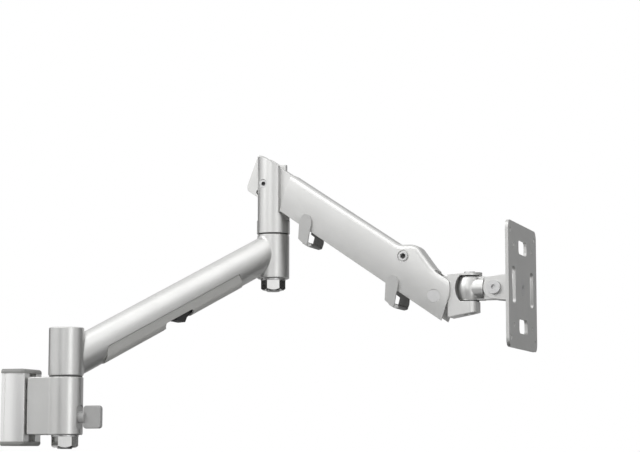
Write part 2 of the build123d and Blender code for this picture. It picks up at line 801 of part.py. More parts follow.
elbow_nut_bottom = elbow_bottom - nut_washer_thickness - nut_height
with BuildPart() as elbow_shaft:
    with Locations((elbow_x, elbow_y, elbow_nut_bottom - shaft_stickout)):
        shaft_length = knuckle_bottom + fork_floor - elbow_nut_bottom + shaft_stickout
        Cylinder(shaft_r, shaft_length, align=(Align.CENTER, Align.CENTER, Align.MIN))
    chamfer(elbow_shaft.faces().sort_by(Axis.Z)[0].edges(), edge_break)
    with Locations((elbow_x, elbow_y, knuckle_bottom + floor_seat)):
        Cylinder(fork_half - 2 * press_gap, head_height, align=(Align.CENTER, Align.CENTER, Align.MIN))
    with BuildSketch(Plane.XY.offset(knuckle_bottom + fork_floor)):
        with Locations((elbow_x, elbow_y)):
            RegularPolygon(stud_key_af / 2, 6, major_radius=False)
    extrude(amount=-hex_key_depth, mode=Mode.SUBTRACT)
save(elbow_shaft, "elbow_shaft")

upright_ring("elbow_thrust_washer", (elbow_x, elbow_y, elbow_top), thrust_thickness, thrust_od / 2, washer_bore)
upright_ring(
    "elbow_washer",
    (elbow_x, elbow_y, elbow_bottom - nut_washer_thickness),
    nut_washer_thickness,
    nut_washer_od / 2,
    washer_bore,
)
upright_nut("elbow_nut", (elbow_x, elbow_y, elbow_nut_bottom), elbow_nut_turn, shaft_r + press_gap)

with BuildPart() as lift_pivot_pin:
    with BuildSketch(lift_plane.offset(-lift_face + pin_inset)):
        Circle(lift_pin_d / 2)
    extrude(amount=lift_face - pin_inset + lift_seat)
    with BuildSketch(lift_plane.offset(lift_seat)):
        Circle(lift_head_d / 2)
    extrude(amount=lift_head_height)
    with BuildSketch(lift_plane.offset(lift_seat + lift_head_height)):
        RegularPolygon(lift_key_af / 2, 6, major_radius=False)
    extrude(amount=-lift_head_height, mode=Mode.SUBTRACT)
save(lift_pivot_pin, "lift_pivot_pin")


def cross_pin(name, plane, at, far, near, radius):
    """A plain dowel across the arm, from its far end to its near end."""
    with BuildPart() as pin:
        with BuildSketch(plane.offset(-far)):
            with Locations(at):
                Circle(radius)
        extrude(amount=far + near)
    save(pin, name)


cross_pin("link_pin_rear", lift_plane, rear_link_at, lift_face - pin_inset, blind_stop, small_pin_d / 2)
cross_pin("strut_pin_rear", lift_plane, rear_strut_at, lift_face - pin_inset, blind_stop, small_pin_d / 2)

# Upper arm: a deep hollow shell on a narrow neck that fits between the cheeks
rest_angle = -upper_drop
lift_high = rest_angle + lift_up_range
lift_low = rest_angle - lift_down_range


def arm_top_line(inset, start, end):
    """Corners of the top of the shell with its hump, lowered by a wall thickness."""
    side_shift = hump_wall_shift * inset / arm_wall
    rise_from, peak, fall_to = (upper_length - back for back in hump_back)
    return (
        (start, arm_top - inset),
        (rise_from + side_shift, arm_top - inset),
        (peak, hump_top - inset),
        (fall_to - side_shift, tip_top - inset),
        (end, tip_top - inset),
    )


def arm_underside(along):
    """Height of the lower edge of the shell at a distance from the lift pivot."""
    share = (along - step_low) / (nose_c[0] - step_low)
    return arm_bottom_root + (arm_bottom_tip - arm_bottom_root) * share


def arm_side(height):
    """Half width of the crowned shell at a height above the line of the pivots."""
    return arm_half - arm_crown_r + math.sqrt(arm_crown_r**2 - (height - arm_crown_mid) ** 2)


with BuildPart() as upper_arm_shell:
    with BuildSketch(arm_plane):
        with BuildLine():
            top_line = arm_top_line(0, blank_start, blank_end)
            FilletPolyline(*top_line, radius=hump_radii)
            Polyline(
                top_line[-1],
                (blank_end, arm_underside(blank_end)),
                (blank_start, arm_underside(blank_start)),
                top_line[0],
            )
        make_face()
    extrude(amount=arm_half, both=True)

    def arm_v(edge):
        return arm_plane.to_local_coords(edge.center()).Y

    def arm_span(edge):
        return abs(abs(edge.center().Y - elbow_y) - arm_half) < press_gap

    long_edges = upper_arm_shell.edges().filter_by(arm_span)
    fillet(long_edges.filter_by(lambda e: arm_v(e) > arm_top / 2), arm_top_round)
    low_edges = upper_arm_shell.edges().filter_by(arm_span).filter_by(lambda e: arm_v(e) < arm_bottom_root / 2)
    fillet(low_edges, arm_bottom_round)
    with BuildSketch(arm_plane):
        with BuildLine():
            core_line = arm_top_line(arm_wall, core_start, blank_end)
            core_radii = (
                hump_radii[0] + arm_wall,
                hump_radii[1] - arm_wall,
                hump_radii[2] + arm_wall,
            )
            FilletPolyline(*core_line, radius=core_radii)
            Polyline(core_line[-1], (blank_end, -2 * arm_top), (core_start, -2 * arm_top), core_line[0])
        make_face()
    extrude(amount=arm_half - arm_wall, both=True, mode=Mode.SUBTRACT)
    with BuildSketch(arm_plane):
        Polygon(
            (step_top, 2 * arm_top),
            (step_top, arm_top),
            step_mid,
            (step_low, arm_bottom_root),
            (step_low, -2 * arm_top),
            (0, -2 * arm_top),
            (0, 2 * arm_top),
            align=None,
        )
    extrude(amount=2 * arm_half, both=True, mode=Mode.SUBTRACT)
    with BuildSketch(arm_plane):
        with BuildLine():
            nose_line = (
                (upper_length + nose_start, nose_start_v),
                (upper_length + nose_top[0], nose_top[1]),
                (upper_length + nose_front[0], nose_front[1]),
                nose_c,
            )
            FilletPolyline(*nose_line, radius=(nose_round, nose_sweep))
            Polyline(
                nose_c,
                (nose_c[0], -2 * arm_top),
                (2 * blank_end, -2 * arm_top),
                (2 * blank_end, 2 * arm_top),
                (nose_line[0][0], 2 * arm_top),
                nose_line[0],
            )
        make_face()
    extrude(amount=2 * arm_half, both=True, mode=Mode.SUBTRACT)
    with BuildSketch(arm_section):
        with BuildLine():
            low, high = -2 * arm_top, 2 * arm_top
            ThreePointArc((arm_side(low), low), (arm_half, arm_crown_mid), (arm_side(high), high))
            Line((arm_side(high), high), (-arm_side(high), high))
            ThreePointArc((-arm_side(high), high), (-arm_half, arm_crown_mid), (-arm_side(low), low))
            Line((-arm_side(low), low), (arm_side(low), low))
        make_face()
    extrude(amount=2 * blank_end, mode=Mode.INTERSECT)
    with BuildSketch(arm_plane):
        with Locations((upper_length - tip_slot_back, 0)):
            Rectangle(blank_end, 2 * arm_top, align=(Align.MIN, Align.CENTER))
    extrude(amount=arm_half - arm_wall, both=True, mode=Mode.SUBTRACT)
    with BuildSketch(arm_plane):
        with BuildLine():
            FilletPolyline(
                (step_low + arm_wall, neck_top),
                (tail_top, neck_top),
                (tail_low, tail_low_v),
                (tail_low + tail_heel, neck_bottom),
                (step_low - neck_lead, neck_bottom),
                radius=(tail_round / 2, tail_round, tail_round),
            )
            Polyline(
                (step_low - neck_lead, neck_bottom),
                (step_low + arm_wall, arm_bottom_root),
                (step_low + arm_wall, neck_top),
            )
        make_face()
    extrude(amount=neck_half, both=True)
    with BuildSketch(arm_plane):
        with BuildLine():
            Polyline(
                (core_start + 2 * arm_wall, neck_top - neck_wall),
                (tail_top + 2 * tail_wall, neck_top - neck_wall),
                (tail_low + 2 * tail_wall, tail_low_v),
                (tail_low + 2 * tail_wall, -2 * arm_top),
                (core_start + 2 * arm_wall, -2 * arm_top),
                close=True,
            )
        make_face()
    extrude(amount=neck_half - neck_wall, both=True, mode=Mode.SUBTRACT)
    with BuildSketch(arm_plane):
        Circle(lift_pin_d / 2 + lift_bush_wall + press_gap)
        for radius, base in ((link_offset, 90), (strut_offset, -90)):
            sweep_start = base - lift_high - slot_spare
            sweep = lift_high - lift_low + 2 * slot_spare
            with BuildLine(mode=Mode.PRIVATE) as pin_path:
                CenterArc((0, 0), radius, sweep_start, sweep)
            SlotArc(pin_path.wires()[0], small_pin_d + 2 * side_gap)
    extrude(amount=2 * neck_half, both=True, mode=Mode.SUBTRACT)
    with BuildSketch(arm_plane):
        with Locations((upper_length, 0)):
            Circle(tip_pin_d / 2 + press_gap)
        with Locations(anchor_screw_at):
            Circle(anchor_screw_d / 2 + plug_gap)
        for clip_at in (clip_rear_at, clip_front_at):
            with Locations((clip_at[0] + clip_peg_at[0], clip_at[1] + clip_peg_at[1])):
                Circle(clip_peg_d / 2 + press_gap)
    extrude(amount=2 * arm_half, both=True, mode=Mode.SUBTRACT)
    tip_side = arm_side(0)
    anchor_side = arm_side(anchor_screw_v)
    for side in (1, -1):
        with BuildSketch(arm_plane.offset(side * (tip_side - tip_head))):
            with Locations((upper_length, 0)):
                Circle(tip_head_d / 2 + press_gap)
        extrude(amount=side * arm_half, mode=Mode.SUBTRACT)
        with BuildSketch(arm_plane.offset(side * (anchor_side - anchor_recess))):
            with Locations(anchor_screw_at):
                Circle(anchor_recess_d / 2)
        extrude(amount=side * arm_half, mode=Mode.SUBTRACT)
save(upper_arm_shell, "upper_arm_shell")

with BuildPart() as lift_bushes:
    for side in (1, -1):
        with BuildSketch(arm_plane.offset(side * (neck_half - neck_wall))):
            Circle(lift_pin_d / 2 + lift_bush_wall)
            Circle(lift_pin_d / 2 + run_gap, mode=Mode.SUBTRACT)
        extrude(amount=side * neck_wall)
save(lift_bushes, "lift_bushes")

with BuildPart() as upper_arm_cover:
    with BuildSketch(arm_plane):
        Polygon(
            (under_start, arm_underside(under_start)),
            (under_end, arm_underside(under_end)),
            (under_end, arm_underside(under_end) + under_thickness),
            (under_start, arm_underside(under_start) + under_thickness),
            align=None,
        )
    extrude(amount=arm_half - arm_wall - press_gap, both=True)
save(upper_arm_cover, "upper_arm_cover")


def cable_clip(name, at):
    """A loose U-shaped clip: two side tabs with pegs and a bar under the arm."""
    tab_in = arm_side(at[1] + clip_high)
    with BuildPart() as clip:
        for side, corners in ((1, clip_near_tab), (-1, clip_far_tab)):
            with BuildSketch(arm_plane.offset(side * tab_in)) as tab:
                with Locations(at):
                    Polygon(*corners, align=None)
                fillet(tab.vertices(), clip_round)
            extrude(amount=side * clip_thickness)
            with BuildSketch(arm_plane.offset(side * tab_in)):
                with Locations((at[0] + clip_peg_at[0], at[1] + clip_peg_at[1])):
                    Circle(clip_peg_d / 2)
            extrude(amount=side * (arm_half - arm_wall - tab_in))
        with BuildSketch(arm_plane):
            with Locations(at):
                Polygon(*clip_bar, align=None)
        extrude(amount=tab_in + clip_thickness / 2, both=True)
    save(clip, name)


cable_clip("cable_clip_rear", clip_rear_at)
cable_clip("cable_clip_front", clip_front_at)

# Strut anchor: a U-bracket screwed between the walls of the shell
anchor_out = arm_half - arm_wall
with BuildPart() as strut_anchor:
    with BuildSketch(arm_plane):
        Polygon(*((upper_length - back, height) for back, height in anchor_outline), align=None)
    extrude(amount=anchor_out, both=True)
    with BuildSketch(arm_plane):
        with Locations((anchor_pin_at[0], anchor_top - anchor_bridge)):
            Rectangle(4 * anchor_top, 4 * anchor_top, align=(Align.CENTER, Align.MAX))
    extrude(amount=anchor_inside, both=True, mode=Mode.SUBTRACT)
    with BuildSketch(arm_plane):
        with Locations(anchor_pin_at):
            Circle(rod_d / 2 + press_gap)
    extrude(amount=2 * arm_half, both=True, mode=Mode.SUBTRACT)
    with BuildSketch(arm_plane):
        with Locations(anchor_screw_at):
            Circle(anchor_screw_d / 2 + press_gap)
    extrude(amount=2 * arm_half, both=True, mode=Mode.SUBTRACT)
save(strut_anchor, "strut_anchor")

with BuildPart() as anchor_screws:
    for side in (1, -1):
        with BuildSketch(arm_plane.offset(side * (anchor_inside + end_gap))):
            with Locations(anchor_screw_at):
                Circle(anchor_screw_d / 2)
        extrude(amount=side * (anchor_side - anchor_recess - anchor_inside - end_gap))
        with BuildSketch(arm_plane.offset(side * (anchor_side - anchor_recess))):
            with Locations(anchor_screw_at):
                Circle(anchor_head_d / 2)
        extrude(amount=side * anchor_head)
        with BuildSketch(arm_plane.offset(side * (anchor_side - anchor_recess + anchor_head))):
            with Locations(anchor_screw_at):
                RegularPolygon(anchor_key_af / 2, 6, major_radius=False)
        extrude(amount=-side * (anchor_head + end_gap), mode=Mode.SUBTRACT)
save(anchor_screws, "anchor_screws")

cross_pin("strut_pin_front", arm_plane, anchor_pin_at, anchor_out - end_gap, anchor_out - end_gap, rod_d / 2)

# Gas strut from the knuckle to the anchor
strut_rear = lift_plane.from_local_coords(Vector(*rear_strut_at, 0))
strut_front = arm_plane.from_local_coords(Vector(*anchor_pin_at, 0))
strut_length = (strut_front - strut_rear).length
strut_plane = Plane(origin=strut_rear, x_dir=(strut_front - strut_rear).normalized(), z_dir=(0, -1, 0))
strut_axis_plane = Plane(origin=strut_rear, x_dir=(0, 1, 0), z_dir=(strut_front - strut_rear).normalized())
tube_r = strut_tube_d / 2
bore_r = tube_r - strut_tube_wall
strut_tube_end = strut_length - strut_shank

with BuildPart() as strut_cylinder:
    with BuildSketch(strut_axis_plane.offset(strut_tube_start)):
        Circle(tube_r)
    extrude(amount=strut_tube_end - strut_tube_start)
    with BuildSketch(strut_axis_plane.offset(strut_tube_start)):
        Circle(rod_d / 2 + run_gap)
    extrude(amount=strut_gland, mode=Mode.SUBTRACT)
    with BuildSketch(strut_axis_plane.offset(strut_tube_start + strut_gland)):
        Circle(bore_r)
    extrude(amount=strut_tube_end - strut_tube_start - 2 * strut_gland, mode=Mode.SUBTRACT)
    with BuildSketch(strut_axis_plane.offset(strut_tube_end)):
        Circle(strut_shank_d / 2)
    extrude(amount=strut_length - strut_tube_end)
    with BuildSketch(strut_plane):
        with Locations((strut_length, 0)):
            Circle(strut_front_eye_r)
    extrude(amount=strut_eye_half, both=True)
    with BuildSketch(strut_plane):
        with Locations((strut_length, 0)):
            Circle(rod_d / 2 + run_gap)
    extrude(amount=2 * strut_eye_half, both=True, mode=Mode.SUBTRACT)
save(strut_cylinder, "strut_cylinder")

with BuildPart() as strut_rod:
    with BuildSketch(strut_axis_plane):
        Circle(rod_d / 2)
    extrude(amount=rod_end)
    with BuildSketch(strut_axis_plane.offset(rod_end - piston_length)):
        Circle(bore_r - run_gap)
    extrude(amount=piston_length)
    with BuildSketch(strut_plane):
        Circle(strut_eye_r)
    extrude(amount=strut_eye_half, both=True)
    with BuildSketch(strut_plane):
        Circle(small_pin_d / 2 + strut_pin_play)
    extrude(amount=2 * strut_eye_half, both=True, mode=Mode.SUBTRACT)
save(strut_rod, "strut_rod")

# Levelling link, parallel to the arm, keeps the head upright
link_rear = lift_plane.from_local_coords(Vector(*rear_link_at, 0))
link_plane = Plane(origin=link_rear, x_dir=upper_dir, z_dir=(0, -1, 0))
with BuildPart() as level_link:
    with BuildSketch(link_plane):
        with Locations((upper_length / 2, 0)):
            Rectangle(upper_length, 2 * link_half)
        with Locations((0, 0), (upper_length, 0)):
            Circle(link_eye_r)
            Circle(small_pin_d / 2 + run_gap, mode=Mode.SUBTRACT)
    extrude(amount=link_half, both=True)
save(level_link, "level_link")

# Head yoke: tongue in the tip of the arm, back wall, upper and lower lug
lug_r = yoke_half
with BuildPart() as head_yoke:
    with BuildSketch(tip_plane):
        with BuildLine():
            Polyline(
                (yoke_back, yoke_bottom),
                (pan_reach + lug_r, yoke_bottom_front),
                (pan_reach + lug_r, yoke_top_front),
                (yoke_back, yoke_top),
                close=True,
            )
        make_face()
    extrude(amount=yoke_half, both=True)
    with BuildSketch(Plane.XY.offset(pan_at.Z - 2 * arm_top)) as lug_plan:
        with Locations((pan_at.X, pan_at.Y)):
            Circle(lug_r)
            Rectangle(2 * pan_reach, 2 * yoke_half, align=(Align.MAX, Align.CENTER))
    extrude(amount=4 * arm_top, mode=Mode.INTERSECT)
    with BuildSketch(head_plane):
        with BuildLine():
            Polyline((0, pocket_half), (0, -pocket_half), (-pocket_end_r, -pocket_half))
            ThreePointArc((-pocket_end_r, -pocket_half), (-pocket_mid_r, 0), (-pocket_end_r, pocket_half))
            Line((-pocket_end_r, pocket_half), (0, pocket_half))
        make_face()
    revolve(axis=Axis((pan_at.X, pan_at.Y, pan_at.Z), (0, 0, 1)), mode=Mode.SUBTRACT)
    with BuildSketch(tip_plane):
        Circle(tongue_r)
        with Locations((0, link_offset)):
            Circle(link_boss_r)
        Polygon(
            (-link_boss_r, 0),
            (0, -tongue_r),
            (yoke_back + fuse_overlap, -tongue_r),
            (yoke_back + fuse_overlap, link_offset + link_boss_r),
            (0, link_offset + link_boss_r),
            (-link_boss_r, link_offset),
            align=None,
        )
    extrude(amount=tongue_half, both=True)
    with BuildSketch(tip_plane):
        with Locations((link_slot_front, link_slot_low)):
            Rectangle(4 * tongue_r, 4 * tongue_r, align=(Align.MAX, Align.MIN))
    extrude(amount=link_half + link_slot, both=True, mode=Mode.SUBTRACT)
    with BuildSketch(tip_plane):
        Circle(tip_pin_d / 2 + tip_bush_wall + press_gap)
        with Locations((0, link_offset)):
            Circle(small_pin_d / 2 + press_gap)
    extrude(amount=2 * tongue_half, both=True, mode=Mode.SUBTRACT)
    with BuildSketch(Plane.XY.offset(pan_at.Z - 2 * arm_top)):
        with Locations((pan_at.X, pan_at.Y)):
            Circle(pan_bolt_d / 2 + press_gap)
    extrude(amount=4 * arm_top, mode=Mode.SUBTRACT)
    pan_seat = tip_at.Z + yoke_top + pan_seat_rise
    with BuildSketch(Plane.XY.offset(pan_seat)):
        with Locations((pan_at.X, pan_at.Y)):
            Circle(pan_head_d / 2 + plug_gap)
    extrude(amount=arm_top, mode=Mode.SUBTRACT)
    pan_nut_top = tip_at.Z + pan_nut_seat
    with BuildSketch(Plane.XY.offset(pan_nut_top)):
        with Locations((pan_at.X, pan_at.Y)):
            Circle(pan_nut_af / 2 * hex_corner + side_gap)
    extrude(amount=-arm_top, mode=Mode.SUBTRACT)
    with BuildSketch(tip_plane):
        with Locations((pan_reach + lower_nose, head_rise)):
            Rectangle(2 * lug_r, 2 * arm_top, align=(Align.MIN, Align.MAX))
    extrude(amount=yoke_half, both=True, mode=Mode.SUBTRACT)
save(head_yoke, "head_yoke")

with BuildPart() as tip_pivot_pin:
    with BuildSketch(tip_plane.offset(-tip_side + tip_head)):
        Circle(tip_pin_d / 2)
    extrude(amount=2 * tip_side - 2 * tip_head)
    with BuildSketch(tip_plane.offset(tip_side - tip_head)):
        Circle(tip_head_d / 2)
    extrude(amount=tip_head)
save(tip_pivot_pin, "tip_pivot_pin")
cross_pin("tip_pin_cap", tip_plane, (0, 0), tip_side, tip_head - tip_side, tip_head_d / 2)
cross_pin("link_pin_front", tip_plane, (0, link_offset), tongue_half, tongue_half, small_pin_d / 2)

with BuildPart() as tip_bushes:
    for side in (1, -1):
        with BuildSketch(tip_plane.offset(side * bush_split)):
            Circle(tip_pin_d / 2 + tip_bush_wall)
        extrude(amount=side * (tongue_half - bush_split))
        with BuildSketch(tip_plane.offset(side * tongue_half)):
            Circle(tip_flange_d / 2)
        extrude(amount=side * (arm_half - arm_wall - tongue_half - run_gap))
    with BuildSketch(tip_plane):
        Circle(tip_pin_d / 2 + run_gap)
    extrude(amount=2 * arm_half, both=True, mode=Mode.SUBTRACT)
save(tip_bushes, "tip_bushes")

# Pan joint: crowned barrel on an upright bolt, with a round neck to the tilt joint
pan_half = pocket_half - pan_washer
pan_neck_r = pocket_half - pan_neck_play
with BuildPart() as pan_knuckle:
    with BuildSketch(head_plane):
        with BuildLine():
            Polyline((-pan_end_r, pan_half), (0, pan_half), (0, -pan_half), (-pan_end_r, -pan_half))
            ThreePointArc((-pan_end_r, -pan_half), (-pan_mid_r, 0), (-pan_end_r, pan_half))
        make_face()
    revolve(axis=Axis((pan_at.X, pan_at.Y, pan_at.Z), (0, 0, 1)))
    with BuildSketch(Plane(origin=pan_at, x_dir=(0, 1, 0), z_dir=(1, 0, 0))):
        Circle(pan_neck_r)
    extrude(amount=pan_neck_end)
    with BuildSketch(tilt_plane):
        Circle(tilt_r)
        with Locations((-tilt_r, 0)):
            Rectangle(2 * tilt_r, 2 * tilt_r)
    extrude(amount=tilt_half, both=True)
    for side in (1, -1):
        with BuildSketch(Plane.XY.offset(pan_at.Z + side * pan_half)):
            with Locations((pan_at.X, pan_at.Y)):
                Circle(pan_washer_od / 2 + guide_gap)
        extrude(amount=side * pan_washer, mode=Mode.SUBTRACT)
    with BuildSketch(Plane.XY.offset(pan_at.Z - 2 * pan_half)):
        with Locations((pan_at.X, pan_at.Y)):
            Circle(pan_bolt_d / 2 + pan_bush_wall + press_gap)
    extrude(amount=4 * pan_half, mode=Mode.SUBTRACT)
    with BuildSketch(tilt_plane):
        Circle(tilt_bolt_d / 2 + run_gap)
    extrude(amount=2 * tilt_half, both=True, mode=Mode.SUBTRACT)
save(pan_knuckle, "pan_knuckle")

with BuildPart() as pan_bush:
    with BuildSketch(Plane.XY.offset(pan_at.Z - pan_half)):
        with Locations((pan_at.X, pan_at.Y)):
            Circle(pan_bolt_d / 2 + pan_bush_wall)
            Circle(pan_bolt_d / 2 + run_gap, mode=Mode.SUBTRACT)
    extrude(amount=2 * pan_half)
save(pan_bush, "pan_bush")

with BuildPart() as pan_washers:
    for z in (pan_at.Z - pocket_half, pan_at.Z + pan_half):
        with BuildSketch(Plane.XY.offset(z)):
            with Locations((pan_at.X, pan_at.Y)):
                Circle(pan_washer_od / 2)
                Circle(pan_bolt_d / 2 + run_gap, mode=Mode.SUBTRACT)
        extrude(amount=pan_washer)
save(pan_washers, "pan_washers")

with BuildPart() as pan_bolt:
    with BuildSketch(Plane.XY.offset(pan_nut_top - pan_nut - shaft_stickout)):
        with Locations((pan_at.X, pan_at.Y)):
            Circle(pan_bolt_d / 2)
    extrude(amount=pan_seat - pan_nut_top + pan_nut + shaft_stickout)
    with BuildSketch(Plane.XY.offset(pan_seat)):
        with Locations((pan_at.X, pan_at.Y)):
            Circle(pan_head_d / 2)
    extrude(amount=pan_head)
    fillet(pan_bolt.faces().sort_by(Axis.Z)[-1].edges(), edge_break)
    with BuildSketch(Plane.XY.offset(pan_seat + pan_head)):
        with Locations((pan_at.X, pan_at.Y)):
            RegularPolygon(lift_key_af / 2, 6, major_radius=False)
    extrude(amount=edge_break - pan_head, mode=Mode.SUBTRACT)
save(pan_bolt, "pan_bolt")

with BuildPart() as pan_nut_part:
    with BuildSketch(Plane.XY.offset(pan_nut_top)):
        with Locations((pan_at.X, pan_at.Y)):
            RegularPolygon(pan_nut_af / 2, 6, major_radius=False)
            Circle(pan_bolt_d / 2 + press_gap, mode=Mode.SUBTRACT)
    extrude(amount=-pan_nut)
save(pan_nut_part, "pan_nut")

# Tilt joint: two ears on a hub disc around the tongue of the pan knuckle
ear_in = tilt_half + tilt_washer
ear_out = ear_in + ear_thickness
with BuildPart() as tilt_clevis:
    with BuildSketch(tilt_plane):
        Circle(tilt_r)
        Polygon(
            (0, tilt_r),
            (0, -tilt_r),
            (hub_back + fuse_overlap, -tilt_r - ear_flare),
            (hub_back + fuse_overlap, tilt_r + ear_flare),
            align=None,
        )
    extrude(amount=ear_out, both=True)
    with BuildSketch(tilt_plane):
        with Locations((hub_back, 0)):
            Rectangle(4 * tilt_r, 4 * tilt_r, align=(Align.MAX, Align.CENTER))
    extrude(amount=ear_in, both=True, mode=Mode.SUBTRACT)
    with BuildSketch(hub_plane):
        Circle(hub_d / 2)
    extrude(amount=hub_thickness)
    with BuildSketch(hub_plane):
        Circle(turn_bolt_d / 2 + run_gap)
    extrude(amount=hub_thickness, mode=Mode.SUBTRACT)
    with BuildSketch(tilt_plane):
        Circle(tilt_bolt_d / 2 + press_gap)
    extrude(amount=2 * ear_out, both=True, mode=Mode.SUBTRACT)
save(tilt_clevis, "tilt_clevis")

with BuildPart() as tilt_washers:
    for side in (1, -1):
        with BuildSketch(tilt_plane.offset(side * tilt_half)):
            Circle(tilt_r - tilt_washer_inset)
            Circle(tilt_bolt_d / 2 + run_gap, mode=Mode.SUBTRACT)
        extrude(amount=side * tilt_washer)
save(tilt_washers, "tilt_washers")

with BuildPart() as tilt_bolt:
    with BuildSketch(tilt_plane.offset(-ear_out - tilt_nut - shaft_stickout)):
        Circle(tilt_bolt_d / 2)
    extrude(amount=2 * ear_out + tilt_nut + shaft_stickout)
    with BuildSketch(tilt_plane.offset(ear_out)):
        Circle(tilt_head_d / 2)
    extrude(amount=tilt_head)
    with BuildSketch(tilt_plane.offset(ear_out + tilt_head)):
        RegularPolygon(lift_key_af / 2, 6, major_radius=False)
    extrude(amount=-hex_key_depth, mode=Mode.SUBTRACT)
save(tilt_bolt, "tilt_bolt")

with BuildPart() as tilt_nut_part:
    with BuildSketch(tilt_plane.offset(-ear_out)):
        RegularPolygon(tilt_nut_af / 2, 6, major_radius=False)
        Circle(tilt_bolt_d / 2 + press_gap, mode=Mode.SUBTRACT)
    extrude(amount=-tilt_nut)
save(tilt_nut_part, "tilt_nut")

# Screen plate on a turning bolt with a friction washer
plate_plane = hub_plane.offset(hub_thickness + friction_washer)
with BuildPart() as rotation_washer:
    with BuildSketch(hub_plane.offset(hub_thickness)):
        Circle(friction_od / 2)
        Circle(turn_bolt_d / 2 + run_gap, mode=Mode.SUBTRACT)
    extrude(amount=friction_washer)
save(rotation_washer, "rotation_washer")

with BuildPart() as vesa_plate:
    with BuildSketch(plate_plane):
        RectangleRounded(plate_side, plate_side, plate_corner)
        with GridLocations(vesa_small, vesa_small, 2, 2):
            Circle(vesa_hole_d / 2, mode=Mode.SUBTRACT)
        with GridLocations(vesa_large, vesa_large, 2, 2):
            Circle(vesa_hole_d / 2, mode=Mode.SUBTRACT)
        with Locations((0, window_at), (0, -window_at)):
            RectangleRounded(window_long, window_short, window_round, mode=Mode.SUBTRACT)
        with Locations((window_at, 0), (-window_at, 0)):
            RectangleRounded(window_short, window_long, window_round, mode=Mode.SUBTRACT)
        Circle(turn_bolt_d / 2 + press_gap, mode=Mode.SUBTRACT)
    extrude(amount=plate_thickness)
    with BuildSketch(plate_plane.offset(plate_thickness)):
        Circle(turn_head_d / 2 + press_gap)
    with BuildSketch(plate_plane.offset(plate_thickness - turn_head_cone)):
        Circle(turn_bolt_d / 2 + press_gap)
    loft(mode=Mode.SUBTRACT)
save(vesa_plate, "vesa_plate")

with BuildPart() as rotation_bolt:
    with BuildSketch(hub_plane.offset(-turn_nut - turn_stickout)):
        Circle(turn_bolt_d / 2)
    turn_grip = hub_thickness + friction_washer + plate_thickness - turn_head_cone
    extrude(amount=turn_nut + turn_stickout + turn_grip)
    with BuildSketch(plate_plane.offset(plate_thickness - turn_head_cone)):
        Circle(turn_bolt_d / 2)
    with BuildSketch(plate_plane.offset(plate_thickness)):
        Circle(turn_head_d / 2)
    loft()
    with BuildSketch(plate_plane.offset(plate_thickness)):
        RegularPolygon(lift_key_af / 2, 6, major_radius=False)
    extrude(amount=-hex_key_depth, mode=Mode.SUBTRACT)
save(rotation_bolt, "rotation_bolt")

with BuildPart() as rotation_nut:
    with BuildSketch(hub_plane):
        RegularPolygon(turn_nut_af / 2, 6, major_radius=False)
        Circle(turn_bolt_d / 2 + press_gap, mode=Mode.SUBTRACT)
    extrude(amount=-turn_nut)
save(rotation_nut, "rotation_nut")
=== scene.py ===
# %% [markdown]
# # A wall-mounted monitor arm
# The arm is a chain of castings: a wall rail, a swivelling lower tube, an upright
# knuckle, a sprung upper arm and a small tilting head. The packed CAD model gives
# every solid in metres, in one frame. This lesson gives those solids their finishes,
# adds the fine pieces that only show close up, and lights them as in a studio.

# %% Load the packed model
import math

import bpy
import numpy as np
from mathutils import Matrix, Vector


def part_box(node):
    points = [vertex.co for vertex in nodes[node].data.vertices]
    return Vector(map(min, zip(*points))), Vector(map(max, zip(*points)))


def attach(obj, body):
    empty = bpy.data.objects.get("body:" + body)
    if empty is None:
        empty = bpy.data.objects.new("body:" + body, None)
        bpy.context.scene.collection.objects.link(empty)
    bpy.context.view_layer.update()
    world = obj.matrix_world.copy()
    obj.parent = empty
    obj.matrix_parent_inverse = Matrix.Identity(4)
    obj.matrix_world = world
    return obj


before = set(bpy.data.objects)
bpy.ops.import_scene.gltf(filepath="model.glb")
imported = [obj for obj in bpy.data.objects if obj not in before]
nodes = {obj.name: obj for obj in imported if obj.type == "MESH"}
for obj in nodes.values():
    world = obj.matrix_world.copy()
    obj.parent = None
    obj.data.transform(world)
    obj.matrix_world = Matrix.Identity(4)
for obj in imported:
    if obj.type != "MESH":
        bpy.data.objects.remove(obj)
scene = bpy.context.scene
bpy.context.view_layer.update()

# %% [markdown]
# ## The camera
# A long lens stands low, to the right of the arm, and looks slightly up, so the
# uprights stay parallel and the undersides just show. The place and the lens were
# worked out from the upright edges and the known spacing of the pivots.

# %% Camera
LENS_MM = 105.75
SENSOR_MM = 36.0
CAMERA_PLACE = (0.8344, -1.5490, -0.0413)
LOOK_UP = 6.885
LOOK_LEFT = 19.0
NEAREST = 0.05
FARTHEST = 30.0
camera_data = bpy.data.cameras.new("arm_camera")
camera_data.lens = LENS_MM
camera_data.sensor_width = SENSOR_MM
camera_data.clip_start = NEAREST
camera_data.clip_end = FARTHEST
camera = bpy.data.objects.new("arm_camera", camera_data)
camera.location = CAMERA_PLACE
camera.rotation_euler = (math.radians(90 + LOOK_UP), 0.0, math.radians(LOOK_LEFT))
scene.collection.objects.link(camera)
scene.camera = camera
print("camera at", CAMERA_PLACE, "with a lens of", LENS_MM, "mm")

# %% [markdown]
# ## Shader maths as Python
# A finish is a small sum of noises. Written node by node it is hard to read, so one
# class wraps an output socket and lets Python's operators add the Math nodes.


